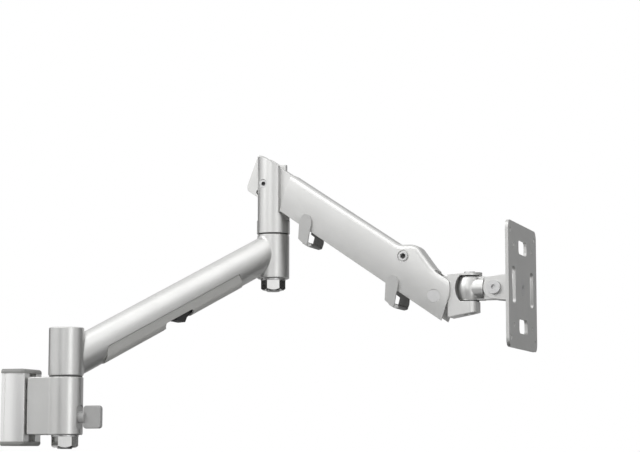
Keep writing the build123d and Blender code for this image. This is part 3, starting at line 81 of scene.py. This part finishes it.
# %% The wire class
class Wire:
    """One output socket; + - * / on it, from either side, add Math nodes to its tree."""

    def __init__(self, tree, socket=None):
        self.tree = tree
        self.socket = socket

    def node(self, kind, settings=None, sockets=None, output=0):
        """Adds a node: its settings first, then the values or links of its sockets."""
        made = self.tree.nodes.new(kind)
        for name, value in (settings or {}).items():
            setattr(made, name, value)
        for name, value in (sockets or {}).items():
            if isinstance(value, Wire):
                self.tree.links.new(value.socket, made.inputs[name])
            else:
                made.inputs[name].default_value = value
        return Wire(self.tree, made.outputs[output])

    def maths(self, operation, first, second):
        """One Math node on two wires or numbers."""
        settings = {"operation": operation}
        return self.node("ShaderNodeMath", settings, {0: first, 1: second})

    def __add__(self, other):
        return self.maths("ADD", self, other)

    def __radd__(self, other):
        return self.maths("ADD", other, self)

    def __sub__(self, other):
        return self.maths("SUBTRACT", self, other)

    def __rsub__(self, other):
        return self.maths("SUBTRACT", other, self)

    def __mul__(self, other):
        return self.maths("MULTIPLY", self, other)

    def __rmul__(self, other):
        return self.maths("MULTIPLY", other, self)

    def __truediv__(self, other):
        return self.maths("DIVIDE", self, other)

    def __rtruediv__(self, other):
        return self.maths("DIVIDE", other, self)

    def clamped(self):
        """Keeps the value from 0 to 1."""
        return self.node("ShaderNodeClamp", None, {"Value": self})

    def mixed(self, first, second):
        """A colour that goes from first to second as this value goes from 0 to 1."""
        sockets = {0: self, 6: first, 7: second}
        return self.node("ShaderNodeMix", {"data_type": "RGBA"}, sockets, output=2)

    def tint(self, dark, light):
        """A colour that goes from dark to light as this value goes from 0 to 1."""
        return self.mixed((*dark, 1.0), (*light, 1.0))


print("a wire knows", [name for name in vars(Wire) if not name.startswith("__")])

# %% [markdown]
# ## Helpers that every finish shares
# Noise and cells give the patterns, read at the object's own coordinates, so a pattern
# stays on its piece when the arm moves. Real edges are never sharp, so every normal is
# rounded at the edges, which costs less than bevelling the solids themselves.


# %% Patterns, sockets and normals
def noise(at, scale, detail=2.0, rough=0.5):
    """Fractal noise from 0 to 1, with scale cells to the metre."""
    sockets = {"Vector": at, "Scale": scale, "Detail": detail, "Roughness": rough}
    return at.node("ShaderNodeTexNoise", None, sockets)


def cells(at, scale):
    """One random level for each small cell, as the flakes in a metallic paint have."""
    made = at.node("ShaderNodeTexVoronoi", None, {"Vector": at, "Scale": scale}, "Color")
    return made.node("ShaderNodeSeparateColor", None, {"Color": made})


def coordinate(at, axis):
    """One coordinate of a place: X, Y or Z."""
    return at.node("ShaderNodeSeparateXYZ", None, {"Vector": at}, axis)


def begin(name):
    """A new material: its Principled shader, and the object's own coordinates."""
    material = bpy.data.materials.new(name)
    material.use_nodes = True
    tree = material.node_tree
    shader = tree.nodes["Principled BSDF"]
    at = Wire(tree).node("ShaderNodeTexCoord", output="Object")
    return material, shader, at


def feed(shader, **sockets):
    """Links wires to the shader's sockets and sets plain values on the socket itself."""
    for name, value in sockets.items():
        target = shader.inputs[name.replace("_", " ")]
        if isinstance(value, Wire):
            value.tree.links.new(value.socket, target)
        else:
            target.default_value = value


def bumped(at, height, depth, soft_edge):
    """A normal from a height field, on top of edges that are rounded by soft_edge."""
    edge = at.node("ShaderNodeBevel", {"samples": 4}, {"Radius": soft_edge})
    sockets = {"Strength": 1.0, "Distance": depth, "Height": height, "Normal": edge}
    return at.node("ShaderNodeBump", None, sockets)


finishes = {}
print("finishes so far:", len(finishes))

# %% [markdown]
# ## Satin silver on cast aluminium
# The castings carry a thin metallic paint: pale grey, with flakes too fine to count,
# a faint orange peel, and a slow drift in tone from the spray gun. One flat grey would
# look dead on the long arms, so three noises of different sizes make the drift, the
# flakes and the peel. The edges of a casting are rounded by half a millimetre.

# %% The silver finish
DRIFT_CELLS = 38.0
FLAKE_CELLS = 6500.0
PEEL_CELLS = 900.0
FINE_PEEL_CELLS = 3200.0
GLOSS_CELLS = 210.0
PEEL_DEPTH = 0.00003


def silver_paint(name, dark, light, metal, rough, edge):
    """Tone is slow noise plus flakes; roughness drifts too; height is orange peel."""
    material, shader, at = begin(name)
    drift = noise(at, DRIFT_CELLS, 3.0)
    flake = cells(at, FLAKE_CELLS)
    tone = (drift * 0.7 + flake * 0.3).clamped()
    peel = noise(at, PEEL_CELLS) + noise(at, FINE_PEEL_CELLS, 1.0) * 0.4
    feed(
        shader,
        Base_Color=tone.tint(dark, light),
        Metallic=metal,
        Roughness=rough - 0.05 + noise(at, GLOSS_CELLS) * 0.1,
        Normal=bumped(at, peel, PEEL_DEPTH, edge),
    )
    return material


finishes["silver_arm"] = silver_paint(
    "satin_silver_paint",
    dark=(0.60, 0.60, 0.59),
    light=(0.72, 0.72, 0.71),
    metal=0.75,
    rough=0.36,
    edge=0.0006,
)
finishes["plate_steel"] = silver_paint(
    "plate_silver_paint",
    dark=(0.56, 0.56, 0.55),
    light=(0.66, 0.66, 0.65),
    metal=0.6,
    rough=0.42,
    edge=0.0003,
)
print("painted:", list(finishes))

# %% [markdown]
# ## Bright aluminium on the rail
# The wall rail is not cast but pressed through a die and clear anodised, so it is bare
# metal: paler than the paint, smoother, and drawn with fine lines along its length.
# A brushed picture could show the lines, but noise that is stretched along the rail
# needs no picture and runs the right way on every side.

# %% The extruded finish
DRAW_OUT = (1.0, 1.0, 0.01)
LINE_CELLS = 2600.0


def extruded(name, dark, light, rough, line_depth, edge):
    """Tone, gloss and height follow die lines: noise that is drawn out along Z."""
    material, shader, at = begin(name)
    stretch = {0: at, 1: DRAW_OUT}
    drawn = at.node("ShaderNodeVectorMath", {"operation": "MULTIPLY"}, stretch)
    lines = noise(drawn, LINE_CELLS)
    tone = (noise(at, DRIFT_CELLS) * 0.6 + lines * 0.4).clamped()
    feed(
        shader,
        Base_Color=tone.tint(dark, light),
        Metallic=1.0,
        Roughness=rough - 0.03 + lines * 0.06,
        Normal=bumped(at, lines, line_depth, edge),
    )
    return material


finishes["rail_silver"] = extruded(
    "bright_anodised_extrusion",
    dark=(0.95, 0.95, 0.94),
    light=(0.99, 0.99, 0.98),
    rough=0.34,
    line_depth=0.000002,
    edge=0.0004,
)
print("extruded:", finishes["rail_silver"].name)

# %% [markdown]
# ## Grey mouldings
# The rail's end caps, the cable covers, the clips and the thumb paddle are moulded in
# grey plastic to go with the paint. A mould is spark-eroded, which leaves a fine grain
# that dulls the gloss, and handling polishes it in patches. The grain is far too fine
# for a mesh, so it is a bump. The inside of each clip and its bar under the arm are
# darkened by a band along Y: painted shade, where the arm's shadow falls.

# %% The moulded finish
PATCH_CELLS = 60.0
GRAIN_CELLS = 4200.0
SHADE_EDGE = 0.0004
# Painted shade: this grey and the band along Y darken the clip's inside and bar, in the arm's
# shadow.
PAINTED_SHADE_GREY = (0.16, 0.16, 0.155, 1.0)
CLIP_SHADED_BAND = (0.1830, 0.2128)


def moulded(name, dark, light, rough, grain_depth, edge, shade_band=None):
    """Tone is slow noise; height is a fine grain; gloss varies in patches.

    Between the two places along Y of the shade band the tone falls to a dark grey, a painted
    shade, over the edge width at either end.
    """
    material, shader, at = begin(name)
    patches = noise(at, PATCH_CELLS, 3.0)
    grain = noise(at, GRAIN_CELLS, 2.0, 0.6)
    colour = (patches * 0.8 + grain * 0.2).clamped().tint(dark, light)
    if shade_band:
        y = coordinate(at, "Y")
        past_start = ((y - shade_band[0]) / SHADE_EDGE).clamped()
        before_end = ((shade_band[1] - y) / SHADE_EDGE).clamped()
        colour = (past_start * before_end).mixed(colour, PAINTED_SHADE_GREY)
    feed(
        shader,
        Base_Color=colour,
        Roughness=rough - 0.06 + patches * 0.12,
        Normal=bumped(at, grain, grain_depth, edge),
    )
    return material


finishes["grey_cap"] = moulded(
    "grey_cap_moulding",
    dark=(0.33, 0.33, 0.32),
    light=(0.40, 0.40, 0.39),
    rough=0.42,
    grain_depth=0.00004,
    edge=0.0005,
)
finishes["grey_cover"] = moulded(
    "grey_cover_moulding",
    dark=(0.56, 0.56, 0.54),
    light=(0.64, 0.64, 0.62),
    rough=0.40,
    grain_depth=0.00003,
    edge=0.0004,
)
finishes["clip_plastic"] = moulded(
    "grey_clip_moulding",
    dark=(0.60, 0.60, 0.59),
    light=(0.68, 0.68, 0.67),
    rough=0.38,
    grain_depth=0.00003,
    edge=0.0005,
    # the band of painted shade inside the clips
    shade_band=CLIP_SHADED_BAND,
)
finishes["paddle_plastic"] = moulded(
    "paddle_moulding",
    dark=(0.48, 0.48, 0.475),
    light=(0.56, 0.56, 0.555),
    rough=0.45,
    grain_depth=0.00005,
    edge=0.0006,
)
finishes["black_nylon"] = moulded(
    "black_nylon_moulding",
    dark=(0.012, 0.012, 0.012),
    light=(0.03, 0.03, 0.03),
    rough=0.5,
    grain_depth=0.00003,
    edge=0.0002,
)
print("with the mouldings:", list(finishes))

# %% [markdown]
# ## Steel fasteners
# Nuts, shafts and pins are turned and plated. The tool leaves fine rings, so roughness
# and height follow thin bands across the piece, with a little tarnish in the tone. An
# anisotropic shader could show the rings too, but plain roughness and height are what
# an exported model keeps.

# %% The steel finish
RING_TURNS = 14000.0
RING_BEND = 3.0
BEND_CELLS = 300.0
TARNISH_CELLS = 120.0
STEEL_EDGE = 0.0003


def turned_steel(name, dark, light, metal, rough, band_depth):
    """Sine bands along Z, bent a little by noise, roughen the steel; tone is slow noise."""
    material, shader, at = begin(name)
    phase = coordinate(at, "Z") * RING_TURNS + noise(at, BEND_CELLS) * RING_BEND
    bands = phase.maths("SINE", phase, 0.0)
    tarnish = noise(at, TARNISH_CELLS, 3.0)
    feed(
        shader,
        Base_Color=tarnish.tint(dark, light),
        Metallic=metal,
        Roughness=rough + bands * 0.03 + tarnish * 0.06,
        Normal=bumped(at, bands, band_depth, STEEL_EDGE),
    )
    return material


finishes["bright_steel"] = turned_steel(
    "bright_plated_steel",
    dark=(0.70, 0.70, 0.69),
    light=(0.84, 0.84, 0.83),
    metal=1.0,
    rough=0.12,
    band_depth=0.000002,
)
finishes["plain_steel"] = turned_steel(
    "zinc_plated_steel",
    dark=(0.50, 0.50, 0.50),
    light=(0.62, 0.62, 0.62),
    metal=1.0,
    rough=0.30,
    band_depth=0.000003,
)
finishes["black_steel"] = turned_steel(
    "blackened_steel",
    dark=(0.018, 0.018, 0.018),
    light=(0.04, 0.04, 0.04),
    metal=0.3,
    rough=0.32,
    band_depth=0.000003,
)
print("with the steels:", list(finishes))

# %% [markdown]
# ## Dressing the solids
# Each solid comes with a plain material that is named after its slot. The shapes are
# right as they are, so only the material is exchanged for the finish of that slot.

# %% Dress the CAD nodes
worn = set()
for node_object in nodes.values():
    skin = node_object.material_slots[0]
    slot_name = skin.material.name.split(".")[0]
    skin.material = finishes[slot_name]
    worn.add(slot_name)
print("dressed", len(nodes), "nodes in", len(worn), "finishes")

# %% [markdown]
# ## Fillets where the tube meets its barrels
# The lower arm is one casting, so the tube runs into each barrel through a small round
# fillet instead of a sharp crease. A fillet is the path of a ball that rolls along the
# crease and touches both walls. The ball's centre lies one ball radius outside both, on
# a curve that a quadratic gives, and the fillet is the arc between its two touch points.
# A bevel could round the crease, but it would change the solid, which stays as it is.

# %% Sizes of the lower arm
MM = 0.001
ARM_TURN = math.radians(57.0)
SHOULDER = np.array([56.0, 0.0, 0.0]) * MM
ALONG = np.array([math.cos(ARM_TURN), math.sin(ARM_TURN), 0.0])
ACROSS = np.array([-ALONG[1], ALONG[0], 0.0])
UP = np.array([0.0, 0.0, 1.0])
LEVEL = np.array([1.0, 1.0, 0.0])
ARM_LENGTH = 235.0 * MM
BARREL_RADIUS = 16.0 * MM
BARREL_EDGE = 1.0 * MM
SHOULDER_BARREL = (28.5 * MM, 72.5 * MM)
ELBOW_BARREL = (130.5 * MM, 174.5 * MM)
TUBE_HALF = 12.0 * MM
TUBE_TALL_HALF = 19.3 * MM
TUBE_RISE = 103.0 / 203.0
TUBE_MIDDLE = 100.4 * MM
BALL = 2.6 * MM
print("tube rises", round(math.degrees(math.atan(TUBE_RISE)), 1), "degrees")


# %% Cast fillets
def unit(vectors):
    """Vectors divided by their lengths."""
    return vectors / np.linalg.norm(vectors, axis=-1, keepdims=True)


def closed_grid(around, over):
    """Each face's first point, and the point beside it, on a grid that closes on itself."""
    i, j = np.meshgrid(np.arange(around), np.arange(over - 1), indexing="ij")
    return (i * over + j).ravel(), ((i + 1) % around * over + j).ravel()


def cast_fillet(name, axis_along, barrel, side, around=160, over=9):
    """A rolling-ball fillet between the oval tube and an upright barrel.

    Tube wall at angle a: half width cos a across, half height sin a up, carried along the
    slope. Ball centre: that wall plus one radius along its normal, at the place on the
    slope where its distance from the barrel's axis is barrel radius plus ball radius.
    """
    a = np.linspace(0.0, 2.0 * math.pi, around, endpoint=False)[:, None]
    slope = unit(ALONG + TUBE_RISE * UP)
    ring = TUBE_HALF * np.cos(a) * ACROSS + TUBE_TALL_HALF * np.sin(a) * UP
    ring_turn = -TUBE_HALF * np.sin(a) * ACROSS + TUBE_TALL_HALF * np.cos(a) * UP
    tube_out = unit(np.cross(ring_turn, slope))
    tube_out = tube_out * np.sign(np.sum(tube_out * ring, axis=1, keepdims=True))
    middle_z = TUBE_MIDDLE + (axis_along - ARM_LENGTH / 2) * TUBE_RISE
    start = ring + BALL * tube_out
    flat = start * LEVEL
    reach = slope * LEVEL
    square = np.sum(reach * reach)
    half = np.sum(flat * reach, axis=1)
    rest = np.sum(flat * flat, axis=1) - (BARREL_RADIUS + BALL) ** 2
    step = (-half + side * np.sqrt(half * half - square * rest)) / square
    centre = start + step[:, None] * slope
    barrel_out = unit(centre * LEVEL)
    opening = np.clip(np.sum(barrel_out * tube_out, axis=1), -1.0, 1.0)
    turn = np.arccos(opening)[:, None, None]
    w = np.linspace(0.0, 1.0, over)[None, :, None]
    from_barrel = np.sin((1.0 - w) * turn) * barrel_out[:, None]
    from_tube = np.sin(w * turn) * tube_out[:, None]
    points = centre[:, None] - BALL * (from_barrel + from_tube) / np.sin(turn)
    points = points + SHOULDER + axis_along * ALONG + middle_z * UP
    lowest, highest = barrel[0] + BARREL_EDGE, barrel[1] - BARREL_EDGE
    points[..., 2] = np.clip(points[..., 2], lowest, highest)
    first, after = closed_grid(around, over)
    quads = np.stack([first, after, after + 1, first + 1], axis=1)[:, :: int(side)]
    mesh = bpy.data.meshes.new(name)
    mesh.from_pydata(points.reshape(-1, 3).tolist(), [], quads.tolist())
    mesh.polygons.foreach_set("use_smooth", np.ones(len(quads), dtype=bool))
    mesh.materials.append(finishes["silver_arm"])
    made = bpy.data.objects.new(name, mesh)
    scene.collection.objects.link(made)
    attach(made, "lower_arm")
    print(name, len(quads), "faces, from", points[..., 2].min(), "to", points[..., 2].max())


cast_fillet("shoulder_fillet", 0.0, SHOULDER_BARREL, 1.0)
cast_fillet("elbow_fillet", ARM_LENGTH, ELBOW_BARREL, -1.0)

# %% [markdown]
# ## Painted shade in the sockets
# A small black cone sits at the bottom of the key sockets of the anchor screws and of
# the lift pivot: a dark piece put where the deep hole lies only in shade, painted shade.
# A dark spot in the finish would need the place of each socket; a small cone that is
# placed by the screw's own box sits in the hole from every side.

# %% Socket floors of painted shade
FLOOR_LIFT = 0.05 * MM
CONE_DEPTH = 0.3 * MM


def shade_cone_in_socket(name, node, depth, radius, side, body, around=24, rings=6):
    """A shallow black cone of painted shade in a socket: depth falls in a straight line from rim to
    middle.
    """
    low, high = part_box(node)
    mouth = high[1] if side > 0 else low[1]
    middle_x = (low[0] + high[0]) / 2
    middle_z = (low[2] + high[2]) / 2
    floor_y = mouth - side * (depth - FLOOR_LIFT)
    a, r = np.meshgrid(
        np.linspace(0.0, 2.0 * math.pi, around, endpoint=False),
        np.linspace(0.0, 1.0, rings),
        indexing="ij",
    )
    points = np.stack(
        [
            middle_x + radius * r * np.cos(a),
            floor_y + side * CONE_DEPTH * r,
            middle_z + radius * r * np.sin(a),
        ],
        axis=-1,
    ).reshape(-1, 3)
    first, after = closed_grid(around, rings)
    quads = np.stack([first, first + 1, after + 1, after], axis=1)[:, :: -int(side)]
    mesh = bpy.data.meshes.new(name)
    mesh.from_pydata(points.tolist(), [], quads.tolist())
    # the black cone stands for the shade in the socket
    mesh.materials.append(finishes["black_steel"])
    made = bpy.data.objects.new(name, mesh)
    scene.collection.objects.link(made)
    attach(made, body)
    print(name, "at", [round(float(v), 4) for v in (middle_x, floor_y, middle_z)])


ANCHOR_DEPTH, ANCHOR_RADIUS = 2.5 * MM, 2.45 * MM
LIFT_DEPTH, LIFT_RADIUS = 2.4 * MM, 1.95 * MM
NEAR, FAR = -1, 1
shade_cone_in_socket(
    "anchor_socket_shade_near", "anchor_screws", ANCHOR_DEPTH, ANCHOR_RADIUS, NEAR, "upper_arm"
)
shade_cone_in_socket(
    "anchor_socket_shade_far", "anchor_screws", ANCHOR_DEPTH, ANCHOR_RADIUS, FAR, "upper_arm"
)
shade_cone_in_socket("lift_socket_shade", "lift_pivot_pin", LIFT_DEPTH, LIFT_RADIUS, NEAR, "elbow_knuckle")

# %% [markdown]
# ## The studio
# A pale floor lies well below the arm, because the arm hangs on a wall. Metal shows
# what is round it, so a studio puts cards there. The front card goes from dark at its
# foot to bright at its top, along a line that slopes with the upper arm, and gives the
# crowned arm its fall from white to grey. The wing beside it is plain and bright, for
# the flat faces. The right card does for the round tube what the front card does for
# the arm, and the side card, a low bright strip before it, keeps what faces right from
# going dark. Black cards give the barrels their dark side, blacken a flat of each nut
# and keep the undersides dark. A grey one behind draws the thin line along the edges.


# %% Sheets and their finishes
def flat_sheet(name, corner, along, across, material):
    """A flat sheet: corner plus u times along plus v times across, u and v 0 or 1."""
    u, v = np.meshgrid([0.0, 1.0], [0.0, 1.0], indexing="ij")
    points = (
        np.asarray(corner)
        + u[..., None] * np.asarray(along)
        + v[..., None] * np.asarray(across)
    ).reshape(-1, 3)
    mesh = bpy.data.meshes.new(name)
    mesh.from_pydata(points.tolist(), [], [(0, 2, 3, 1)])
    mesh.materials.append(material)
    made = bpy.data.objects.new(name, mesh)
    scene.collection.objects.link(made)
    return made


def plain(name, colour, rough):
    """A plain finish with a breath of noise, for the stage."""
    material, shader, at = begin(name)
    pale = tuple(min(1.0, c * 1.03) for c in colour)
    feed(shader, Base_Color=noise(at, 6.0).tint(colour, pale), Roughness=rough)
    return material


def glowing_card(name, low, low_level, high, high_level, lean=0.0):
    """A card that glows: its level rises in a straight line with the height Z + lean X."""
    material, shader, at = begin(name)
    height = coordinate(at, "Z") + coordinate(at, "X") * lean
    share = ((height - low) / (high - low)).clamped()
    feed(
        shader,
        Base_Color=(0.0, 0.0, 0.0, 1.0),
        Specular_IOR_Level=0.0,
        Emission_Color=share.tint([low_level] * 3, [high_level] * 3),
        Emission_Strength=1.0,
    )
    return material


FLOOR_Z = -0.42
FLOOR_REACH = 12.0
flat_sheet(
    "studio_floor",
    (-FLOOR_REACH, -FLOOR_REACH, FLOOR_Z),
    (2.0 * FLOOR_REACH, 0.0, 0.0),
    (0.0, 2.0 * FLOOR_REACH, 0.0),
    plain("pale_floor", (0.92, 0.92, 0.915), 0.8),
)
print("floor at", FLOOR_Z, "m")

# %% Cards
FRONT_Y = -1.35
FRONT_FOOT = -0.6
FRONT_UP = (0.0, 0.0, 1.8)
RIGHT_X = 1.15
STRIP_X = 1.12
card_black = plain("card_black", (0.012, 0.012, 0.012), 0.9)
card_front = glowing_card(
    "card_front", low=0.12, low_level=0.10, high=0.28, high_level=1.95, lean=0.7
)
card_wing = glowing_card("card_wing", low=0.05, low_level=0.75, high=0.80, high_level=0.95)
card_right = glowing_card("card_right", low=-0.05, low_level=0.10, high=1.00, high_level=2.1)
card_side = glowing_card("card_side", low=-0.1, low_level=0.95, high=0.2, high_level=0.95)
card_back = glowing_card("card_back", low=-0.2, low_level=0.40, high=1.4, high_level=0.55)
cards = [
    flat_sheet("front_card", (-0.45, FRONT_Y, FRONT_FOOT), (0.75, 0.0, 0.0), FRONT_UP, card_front),
    flat_sheet("wing_card", (-0.95, FRONT_Y, FRONT_FOOT), (0.50, 0.0, 0.0), FRONT_UP, card_wing),
    flat_sheet("right_card", (RIGHT_X, -0.45, -0.5), (0.0, 0.75, 0.0), (0.0, 0.0, 4.0), card_right),
    flat_sheet("side_card", (STRIP_X, -0.45, -0.06), (0.0, 0.95, 0.0), (0.0, 0.0, 0.22), card_side),
    flat_sheet("dark_card", (RIGHT_X, 0.30, -0.4), (0.0, 1.4, 0.0), (0.0, 0.0, 1.2), card_black),
    flat_sheet("left_card", (-0.9, 0.20, -0.4), (0.0, 0.8, 0.0), (0.0, 0.0, 0.9), card_black),
    flat_sheet("back_card", (-1.6, 1.8, -0.4), (3.2, 0.0, 0.0), (0.0, 0.0, 1.9), card_back),
    flat_sheet("low_card", (-0.1, -0.15, -0.25), (0.7, 0.0, 0.0), (0.0, 0.6, 0.0), card_black),
]
for card in cards:
    card.visible_camera = False
    card.visible_diffuse = card.name == "low_card"
    card.visible_shadow = False
    card.visible_transmission = False
print("cards", [card.name for card in cards])

# %% [markdown]
# ## Soft lamps
# Three rectangular lamps give the dull surfaces their light: a key from the upper left,
# a weak one from the right, and one from above. Large lamps keep the shadows soft, and
# they stay at a level at which a colour looks about as it is written.

# %% Lamps
AIM = np.array([0.22, 0.12, 0.10])


def soft_lamp(name, place, wide, tall, watts):
    """A rectangular lamp that looks at the arm."""
    lamp = bpy.data.lights.new(name, "AREA")
    lamp.shape = "RECTANGLE"
    lamp.size = wide
    lamp.size_y = tall
    lamp.energy = watts
    made = bpy.data.objects.new(name, lamp)
    away = np.asarray(place) - AIM
    turn = math.atan2(away[0], -away[1])
    lean = math.atan2(math.hypot(away[0], away[1]), away[2])
    made.location = place
    made.rotation_euler = (lean, 0.0, turn)
    scene.collection.objects.link(made)
    print(name, watts, "W")


soft_lamp("key_lamp", (-1.0, -1.0, 1.1), wide=0.8, tall=0.8, watts=9.0)
soft_lamp("right_lamp", (1.0, -0.66, 0.0), wide=0.40, tall=0.6, watts=1.3)
soft_lamp("top_lamp", (0.1, -0.5, 1.5), wide=1.2, tall=0.8, watts=6.0)

# %% [markdown]
# ## The white background
# The picture is cut out on white. The world is white to the camera and in
# reflections, and gives only a soft grey light to everything else.

# %% World
AMBIENT = 0.30
world = bpy.data.worlds.new("white_studio")
world.use_nodes = True
scene.world = world
sky = Wire(world.node_tree)
background = world.node_tree.nodes["Background"]
rays = sky.node("ShaderNodeLightPath").socket.node.outputs
seen = (
    Wire(sky.tree, rays["Is Camera Ray"])
    + Wire(sky.tree, rays["Is Glossy Ray"])
    + Wire(sky.tree, rays["Is Transmission Ray"])
).clamped()
strength = seen * (1.0 - AMBIENT) + AMBIENT
background.inputs["Color"].default_value = (1.0, 1.0, 1.0, 1.0)
sky.tree.links.new(strength.socket, background.inputs["Strength"])
scene.view_settings.view_transform = "Standard"
print("world gives", AMBIENT, "to dull surfaces and 1 to what is seen")

# %% [markdown]
